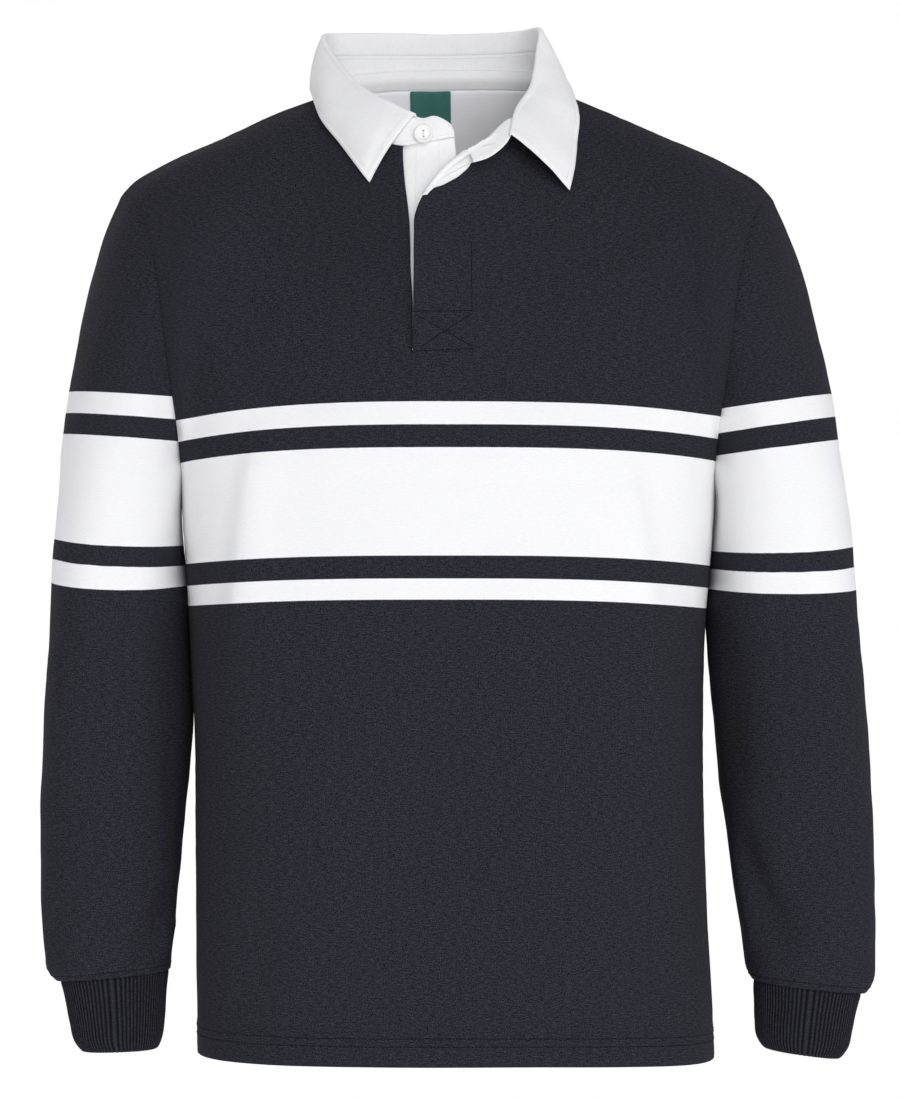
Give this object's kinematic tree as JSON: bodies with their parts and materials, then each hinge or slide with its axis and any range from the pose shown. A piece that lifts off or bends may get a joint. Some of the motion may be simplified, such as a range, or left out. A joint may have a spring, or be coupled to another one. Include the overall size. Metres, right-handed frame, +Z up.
{
  "type": "rugby shirt",
  "caption": "long-sleeved knitted shirt with a turned-down woven collar, an open fly placket, ribbed cuffs and a striped chest, hollow and filled out as worn",
  "frame": {"origin": "middle of the neck base, where the wearer's neck leaves the shirt", "axes": "+X to the wearer's left, +Y to the back, +Z up; the placket faces -Y"},
  "size_m": [0.6396, 0.2468, 0.7938],
  "materials": {
    "jersey": "heavy knitted cotton, matt",
    "rib": "ribbed knit, matt",
    "twill": "woven cotton twill, matt",
    "tape": "woven cotton tape, matt",
    "facing": "light jersey facing, matt",
    "label": "woven satin, bare",
    "button": "pearl white, polished"
  },
  "bodies": {
    "root": {"front": "jersey", "back": "jersey", "sleeve_left": "jersey", "sleeve_right": "jersey", "cuff_left": "rib", "cuff_right": "rib", "collar_leaf": "twill", "collar_stand": "twill", "placket_facing": "twill", "under_placket": "twill", "neck_tape": "tape", "half_moon": "facing", "neck_label": "label", "neck_button": "button"}
  },
  "joints": []
}
